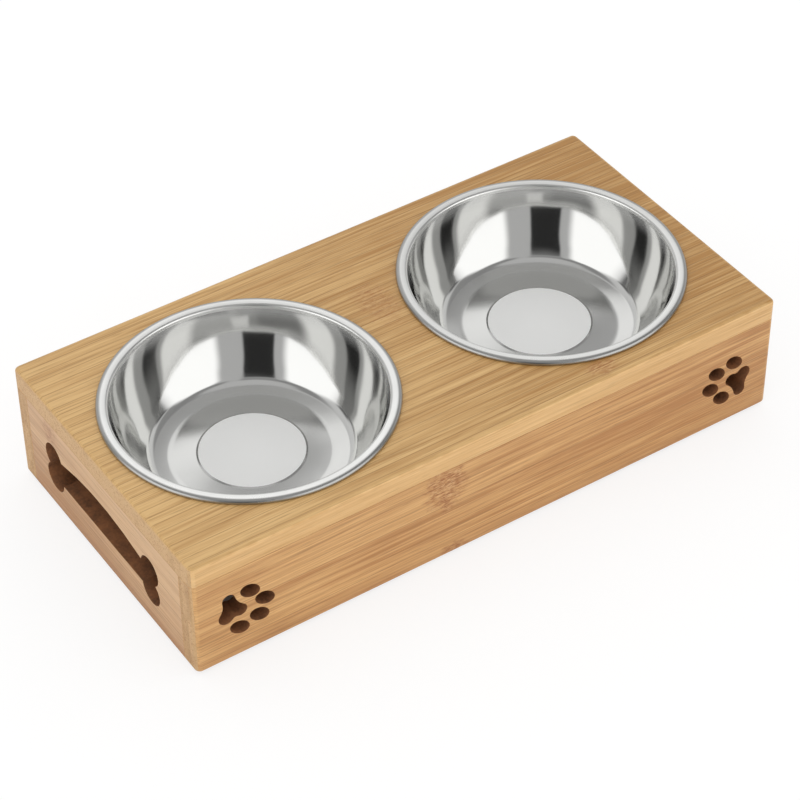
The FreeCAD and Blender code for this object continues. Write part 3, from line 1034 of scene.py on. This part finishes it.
class STAND_OT_top_board(Operator):
    """Top board with a round hole for each bowl"""

    bl_idname = "stand.top_board"
    bl_label = "Top Board"

    def execute(self, context):
        sizes = context.scene.stand_boards
        bowl = context.scene.stand_bowl
        wood = context.scene.stand_bamboo
        low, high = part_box("top_panel")
        thickness = high.z - low.z
        shape = box_shape(low, high)
        uprights = [edge for edge in shape.edges if abs(edge.verts[0].co.z - edge.verts[1].co.z) > TINY]
        round_edges(shape, uprights, sizes.corner_radius, CORNER_STEPS)
        round_edges(shape, edges_at(shape, [(Z, high.z)]), sizes.edge_radius, EDGE_STEPS)
        drills = []
        for side in SIDES:
            bowl_low, bowl_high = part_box(f"{side}_bowl")
            drill = bmesh.new()
            radius = (bowl_high.x - bowl_low.x) / 2 - bowl.rim_band + bowl.hole_clearance
            bmesh.ops.create_cone(
                drill, cap_ends=True, segments=HOLE_STEPS, radius1=radius, radius2=radius,
                depth=CUTTER_DEPTH * thickness,
            )
            middle = (bowl_low + bowl_high) / 2
            bmesh.ops.translate(drill, vec=(middle.x, middle.y, (low.z + high.z) / 2), verts=drill.verts)
            drills.append(drill)
        shape = cut(shape, drills)
        finish_board(shape, sizes, low, high, Z, X)
        # Painted light: the top board is painted paler towards the left and the front
        broad = Cane(
            "bamboo_top", (X, Y, Z), wood.top_dark, wood.top_light, wood.top_strip, seed=0.3,
            contrast=0.9, painted_light_drift=(-2.4, -1.3), knuckles=TOP_KNUCKLES,
        )
        band = Cane(
            "bamboo_top_band", (X, Z, Y), wood.band_dark, wood.band_light, thickness,
            seed=-low.z / thickness, contrast=0.6,
        )
        materials = [
            bamboo(broad, wood),
            bamboo(band, wood),
            end_grain(
                "bamboo_top_ends", (X, Y, Z), wood.top_strip, wood.top_layer, wood, seed=0.3, lift=0.30
            ),
            end_grain("bamboo_top_holes", (Z, X, Y), wood.top_strip, wood.top_strip, wood, seed=0.7),
        ]
        add_piece("top_board", shape, materials, "stand", "top_panel")
        return {"FINISHED"}


class STAND_OT_long_boards(Operator):
    """Front and rear boards, each with a paw of cut-outs near both ends"""

    bl_idname = "stand.long_boards"
    bl_label = "Long Boards"

    def execute(self, context):
        sizes = context.scene.stand_boards
        paw = context.scene.stand_paw
        wood = context.scene.stand_bamboo
        # Painted light: the long boards are painted darker towards the top and a little towards the right
        broad = Cane(
            "bamboo_long", (X, Z, Y), wood.long_dark, wood.long_light, wood.long_strip, seed=0.47,
            painted_light_drift=(-0.9, -10.0), lift=0.26, knuckles=LONG_KNUCKLES,
        )
        edges = Cane("bamboo_long_edges", (X, Y, Z), wood.long_dark, wood.long_light, wood.layer, seed=0.2)
        materials = [
            bamboo(broad, wood),
            bamboo(edges, wood),
            end_grain("bamboo_long_ends", (X, Z, Y), wood.long_strip, wood.layer, wood, seed=0.47),
            scorched(wood),
        ]
        for face, sign in FACES.items():
            node = f"{face}_panel"
            low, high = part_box(node)
            outer = high.y if sign > 0 else low.y
            inner = low.y if sign > 0 else high.y
            shape = box_shape(low, high)
            uprights = [edge for x in (low.x, high.x) for edge in edges_at(shape, [(X, x), (Y, outer)])]
            round_edges(shape, uprights, sizes.corner_radius, CORNER_STEPS)
            inside = set(edges_at(shape, [(Y, inner)]))
            below = [edge for edge in edges_at(shape, [(Z, low.z)]) if edge not in inside]
            round_edges(shape, below, sizes.edge_radius, EDGE_STEPS)
            middle = (low + high) / 2
            depth = CUTTER_DEPTH * (high.y - low.y)
            cutters = []
            for side in SIDES.values():
                place = Vector((side * (high.x - paw.inset), middle.y, middle.z))
                spin = 0 if side * sign > 0 else math.pi
                turn = 0 if sign < 0 else math.pi
                for outline in paw_outlines(paw):
                    cutters.append(stand_through(outline, depth, spin, turn, place))
            shape = cut(shape, cutters)
            finish_board(shape, sizes, low, high, Y, X)
            add_piece(f"{face}_board", shape, materials, "stand", node)
        return {"FINISHED"}


class STAND_OT_end_boards(Operator):
    """Left and right end boards with the bone-shaped hand hole"""

    bl_idname = "stand.end_boards"
    bl_label = "End Boards"

    def execute(self, context):
        sizes = context.scene.stand_boards
        bone = context.scene.stand_bone
        wood = context.scene.stand_bamboo
        # Painted light: the end boards are painted paler towards the top and the front
        broad = Cane(
            "bamboo_ends", (Y, Z, X), wood.end_dark, wood.end_light, wood.end_strip, seed=0.23,
            contrast=0.8, painted_light_drift=(-3.5, 14.0), lift=-0.36, knuckles=END_KNUCKLES,
        )
        edges = Cane("bamboo_end_edges", (Y, X, Z), wood.end_dark, wood.end_light, wood.layer, seed=0.6)
        materials = [
            bamboo(broad, wood),
            bamboo(edges, wood),
            end_grain("bamboo_end_ends", (Y, Z, X), wood.end_strip, wood.layer, wood, seed=0.23),
            bpy.data.materials[SCORCHED],
        ]
        for side, sign in SIDES.items():
            node = f"{side}_end_panel"
            low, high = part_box(node)
            outer = high.x if sign > 0 else low.x
            shape = box_shape(low, high)
            round_edges(shape, edges_at(shape, [(X, outer), (Z, low.z)]), sizes.edge_radius, EDGE_STEPS)
            middle = (low + high) / 2
            place = Vector((middle.x, middle.y + bone.offset, middle.z))
            depth = CUTTER_DEPTH * (high.x - low.x)
            cutter = stand_through(bone_outline(bone), depth, 0, sign * math.pi / 2, place)
            shape = cut(shape, [cutter])
            finish_board(shape, sizes, low, high, X, Y)
            add_piece(f"{side}_end_board", shape, materials, "stand", node)
        return {"FINISHED"}


def bowl_shape(sizes, centre, rim_radius, rim_top):
    """Shown side of a pressed bowl: one section from the disc to the rolled rim, spun about the axis."""
    mouth = rim_radius - sizes.rim_band
    floor = mouth - sizes.wall_spread
    disc = floor - sizes.floor_ring
    seat = rim_top - sizes.rim_height
    disc_top = rim_top - sizes.depth
    ring_top = disc_top - sizes.disc_step
    channel = ring_top - sizes.channel_fall
    lip = mouth - sizes.lip_radius / 2
    section = (
        (0.0, disc_top, 0.0),
        (disc, disc_top, sizes.step_radius),
        (disc + sizes.disc_shoulder, ring_top, sizes.step_radius),
        (disc + sizes.channel, channel, sizes.channel_curve),
        (floor, channel + sizes.channel_rise, sizes.floor_fillet),
        (mouth - sizes.knee_inset, rim_top - sizes.knee_drop, sizes.wall_curve),
        (mouth, rim_top - sizes.rim_fall, sizes.lip_radius),
        (rim_radius, rim_top, sizes.roll_radius),
        (rim_radius, seat + sizes.seat_gap, sizes.roll_foot),
        (rim_radius - sizes.rim_return, seat + sizes.seat_gap, 0.0),
    )
    points = [Vector((centre.x + radius, centre.y, height)) for radius, height, _ in section]
    shape = bmesh.new()
    corners = [shape.verts.new(point) for point in points]
    for pair in zip(corners, corners[1:]):
        shape.edges.new(pair)
    for index, (_, _, rounding) in enumerate(section):
        if rounding:
            back = points[index - 1] - points[index]
            ahead = points[index + 1] - points[index]
            reach = rounding / math.tan(back.angle(ahead) / 2)
            steps = WALL_STEPS if rounding == sizes.wall_curve else FILLET_STEPS
            bmesh.ops.bevel(
                shape, geom=[corners[index]], offset=reach, offset_type="OFFSET", affect="VERTICES",
                segments=steps, profile=0.5, material=-1, clamp_overlap=False,
            )
    bmesh.ops.spin(
        shape, geom=shape.verts[:] + shape.edges[:], cent=centre, axis=(0, 0, 1),
        angle=math.tau, steps=BOWL_STEPS, use_merge=True,
    )
    bmesh.ops.remove_doubles(shape, verts=shape.verts, dist=TINY)
    bmesh.ops.recalc_face_normals(shape, faces=shape.faces)
    innermost = min(shape.faces, key=lambda face: (face.calc_center_median().xy - centre.xy).length)
    if innermost.normal.z < 0:
        bmesh.ops.reverse_faces(shape, faces=shape.faces)
    for face in shape.faces:
        face.smooth = True
        reach = (face.calc_center_median().xy - centre.xy).length
        if reach < disc:
            face.material_index = DISC
        else:
            face.material_index = WALL if reach < lip else RIM
    return shape


def bowl_zones(side, look, sizes, rim_radius, rim_top):
    """Looks of a bowl's wall, disc, rim and outside, with heights from the bowl's middle."""
    mouth = rim_radius - sizes.rim_band
    # Painted light on the rim: a painted dark reflection line inside the mouth, a painted highlight on the
    # crest, a painted dark reflection on the roll
    tints = (
        (look.painted_line_reflection, mouth, PAINTED_LINE_BAND),
        (look.painted_crest_highlight, mouth, PAINTED_CREST_BAND),
        (look.painted_roll_reflection, rim_radius, PAINTED_ROLL_BAND),
    )
    bands = tuple((tint, origin + start, width) for tint, origin, (start, width) in tints)
    wall = Zone(
        f"{side}_polished_steel", look.tint, look.polished, lines=0.001, dents=2.0,
        floor=mouth - sizes.wall_spread, mouth=rim_top - look.haze_drop,
    )
    disc = Zone(
        f"{side}_satin_disc", look.disc_tint, look.satin, lines=0.002, dents=0.02, metallic=look.frosted
    )
    # The rim's base tint is the painted crest highlight: the steel's colour brightened into a painted
    # highlight
    rim = Zone(f"{side}_satin_rim", look.painted_crest_highlight, look.rim, bands=bands)
    outside = Zone(f"{side}_satin_outside", look.outside_tint, look.outside, lines=0.004, dents=0.5)
    return wall, disc, rim, outside


class STAND_OT_bowls(Operator):
    """Two pressed steel bowls that hang by their rims"""

    bl_idname = "stand.bowls"
    bl_label = "Bowls"

    def execute(self, context):
        sizes = context.scene.stand_bowl
        look = context.scene.stand_steel
        for side in SIDES:
            node = f"{side}_bowl"
            low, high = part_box(node)
            centre = (low + high) / 2
            rim_radius = (high.x - low.x) / 2
            shape = bowl_shape(sizes, centre, rim_radius, high.z)
            zones = bowl_zones(side, look, sizes, rim_radius, high.z - centre.z)
            materials = [steel(zone, centre) for zone in zones]
            piece = add_piece(f"{side}_steel_bowl", shape, materials, node, node)
            sheet = piece.modifiers.new("sheet", "SOLIDIFY")
            sheet.thickness = sizes.sheet
            sheet.offset = -1.0
            sheet.use_even_offset = True
            sheet.material_offset = OUTSIDE
        return {"FINISHED"}


class STAND_OT_feet(Operator):
    """Four soft pads under the long boards"""

    bl_idname = "stand.feet"
    bl_label = "Feet"

    def execute(self, context):
        sizes = context.scene.stand_foot
        material = soft_pad(context.scene.stand_small)
        for face in FACES:
            for side in SIDES:
                node = f"{face}_{side}_foot"
                low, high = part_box(node)
                radius = (high.x - low.x) / 2
                shape = bmesh.new()
                bmesh.ops.create_cone(
                    shape, cap_ends=True, segments=PAD_STEPS, radius1=radius, radius2=radius,
                    depth=high.z - low.z,
                )
                bmesh.ops.translate(shape, vec=(low + high) / 2, verts=shape.verts)
                round_edges(shape, edges_at(shape, [(Z, low.z)]), sizes.edge_round, EDGE_STEPS)
                sole = [part for part in shape.faces if part.calc_center_median().z < low.z + TINY]
                bmesh.ops.inset_region(shape, faces=sole, thickness=sizes.dish_inset)
                bmesh.ops.translate(shape, vec=(0, 0, sizes.dish_depth), verts=sole[0].verts)
                shape.normal_update()
                for part in shape.faces:
                    part.smooth = not is_flat(part)
                add_piece(f"{face}_{side}_pad", shape, [material], "stand", node)
        return {"FINISHED"}


class STAND_OT_dowels(Operator):
    """Wood finish of the hidden dowels, which keep their CAD shape"""

    bl_idname = "stand.dowels"
    bl_label = "Dowels"

    def execute(self, context):
        material = dowel_wood(context.scene.stand_small)
        for name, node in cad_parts.items():
            if name.endswith("_dowels"):
                node.data.materials.clear()
                node.data.materials.append(material)
        return {"FINISHED"}


def add_floor(stage):
    """Pale floor that keeps the shadow and looks white to the camera; inside the stand the camera sees it
    darker, as painted shade.
    """
    finish = Finish("studio_floor")
    axes = finish.object_axes()
    _, high = CAD_BOX
    outside_x = finish.math("GREATER_THAN", finish.math("ABSOLUTE", axes[X]), high.x - stage.floor_margin)
    outside_y = finish.math("GREATER_THAN", finish.math("ABSOLUTE", axes[Y]), high.y - stage.floor_margin)
    outside = finish.math("MAXIMUM", outside_x, outside_y)
    camera = finish.add("ShaderNodeLightPath").outputs["Is Camera Ray"]
    seen = finish.math("MULTIPLY", camera, outside)
    # Painted shade: inside the stand the camera sees the floor in a darker colour than other rays do
    under = finish.mix(camera, stage.floor, stage.floor_painted_shade)
    below = finish.add("ShaderNodeNewGeometry").outputs["Backfacing"]
    finish.surface(
        Base_Color=finish.mix(seen, under, stage.floor_seen),
        Alpha=finish.math("SUBTRACT", 1.0, below),
        Roughness=0.9,
        Specular_IOR_Level=0.0,
        Emission_Color=(1.0, 1.0, 1.0),
        Emission_Strength=finish.math("MULTIPLY", seen, stage.floor_lift),
    )
    shape = bmesh.new()
    bmesh.ops.create_grid(shape, x_segments=1, y_segments=1, size=stage.floor_size)
    floor = add_object("studio_floor", finished_mesh("studio_floor", shape))
    floor.data.materials.append(finish.material)


def add_camera(stage):
    """Camera at the photograph's viewing angle."""
    turn, tilt, roll = stage.azimuth, stage.elevation, stage.roll
    back = Vector((math.sin(turn) * math.cos(tilt), -math.cos(turn) * math.cos(tilt), math.sin(tilt)))
    right = Vector((math.cos(turn), math.sin(turn), 0))
    up = back.cross(right)
    rolled_right = right * math.cos(roll) + up * math.sin(roll)
    rolled_up = up * math.cos(roll) - right * math.sin(roll)
    data = bpy.data.cameras.new("photo_camera")
    data.lens = stage.lens
    camera = add_object("photo_camera", data)
    pose = Matrix((rolled_right, rolled_up, back)).transposed().to_4x4()
    pose.translation = Vector(stage.aim) + back * stage.distance
    camera.matrix_world = pose
    bpy.context.scene.camera = camera
    return right


def add_world(stage, right):
    """Even white light; metal also sees tall lights, a far wall with a lamp and a dark stand in front."""
    world = bpy.data.worlds.new("studio_light")
    world.use_nodes = True
    bpy.context.scene.world = world
    desk = NodeDesk(world.node_tree)
    way = desk.add("ShaderNodeTexCoord").outputs["Generated"]
    height = desk.add("ShaderNodeSeparateXYZ", {0: way}).outputs[Z]
    nearer = right.cross(Vector((0, 0, 1)))
    sideways = desk.part_along(way, right)
    towards = desk.part_along(way, nearer)
    off_side = desk.math("ABSOLUTE", sideways)

    # The far side: pale on the left and dark on the right, with a broad lamp left of the middle
    far = desk.blend(desk.step(sideways, *FAR_FADE), stage.far_level, stage.screen_level)
    far = desk.blend(desk.step(off_side, *FAR_MIDDLE), far, stage.middle_level)
    far = desk.blend(desk.step(height, *LOW_FADE), far, stage.low_level)
    lamp_side = desk.band(sideways, LAMP_SIDES, LAMP_SOFT)
    lamp = desk.math("MULTIPLY", desk.band(height, LAMP_HEIGHTS, LAMP_SOFT), lamp_side)
    far = desk.blend(lamp, far, stage.lamp_level)
    gap = desk.math("MULTIPLY", desk.band(towards, GAP_DEPTHS, GAP_SOFT), desk.step(height, *GAP_FADE))
    far = desk.blend(gap, far, stage.gap_level)

    # The near side: two tall lights, and the camera on its stand between them
    light = desk.step(off_side, stage.light_start - LIGHT_SOFT, stage.light_start + LIGHT_SOFT)
    near = desk.blend(light, stage.flank_level, stage.light_level)
    stand_ends = (stage.stand_offset - stage.stand_width, stage.stand_offset + stage.stand_width)
    stand = desk.blend(desk.step(height, *STAND_HEAD), stage.stand_level, stage.stand_top)
    near = desk.blend(desk.band(sideways, stand_ends, STAND_SOFT), near, stand)
    seen = desk.blend(desk.step(towards, *NEAR_FADE), far, near)

    # Over both: dark above the tall lights, and the ceiling
    dome = desk.math("MULTIPLY", desk.step(height, *DOME_HEIGHTS), desk.step(off_side, *DOME_SIDES))
    seen = desk.blend(dome, seen, stage.dome_level)
    seen = desk.blend(desk.step(height, *CEILING_FADE), seen, stage.ceiling_level)
    path = desk.add("ShaderNodeLightPath").outputs
    around = desk.blend(path["Is Glossy Ray"], stage.ambient, seen)
    white = desk.blend(path["Is Camera Ray"], around, 1.0)
    background = world.node_tree.nodes["Background"]
    desk.put(background.inputs["Strength"], white)
    desk.put(background.inputs["Color"], (1.0, 1.0, 1.0))


class STAND_OT_stage(Operator):
    """Floor, light and camera"""

    bl_idname = "stand.stage"
    bl_label = "Stage"

    def execute(self, context):
        stage = context.scene.stand_stage
        add_floor(stage)
        right = add_camera(stage)
        add_world(stage, right)
        context.scene.view_settings.view_transform = "Standard"
        return {"FINISHED"}


OPERATORS = (
    STAND_OT_top_board,
    STAND_OT_long_boards,
    STAND_OT_end_boards,
    STAND_OT_bowls,
    STAND_OT_feet,
    STAND_OT_dowels,
    STAND_OT_stage,
)


class STAND_PT_panel(Panel):
    """Steps that dress the bowl stand"""

    bl_idname = "STAND_PT_panel"
    bl_label = "Bowl Stand"
    bl_space_type = "VIEW_3D"
    bl_region_type = "UI"
    bl_category = "Bowl Stand"

    def draw(self, context):
        for operator in OPERATORS:
            self.layout.operator(operator.bl_idname)


CLASSES = (*GROUPS.values(), *OPERATORS, STAND_PT_panel)


def register():
    """Adds the classes and the settings to Blender."""
    for cls in CLASSES:
        bpy.utils.register_class(cls)
    for name, group in GROUPS.items():
        setattr(bpy.types.Scene, name, PointerProperty(type=group))


def unregister():
    """Takes the settings and the classes out of Blender."""
    for name in GROUPS:
        delattr(bpy.types.Scene, name)
    for cls in reversed(CLASSES):
        bpy.utils.unregister_class(cls)


def main():
    """Dresses the stand."""
    register()
    bpy.ops.stand.top_board()
    bpy.ops.stand.long_boards()
    bpy.ops.stand.end_boards()
    bpy.ops.stand.bowls()
    bpy.ops.stand.feet()
    bpy.ops.stand.dowels()
    bpy.ops.stand.stage()


if __name__ == "__main__":
    main()
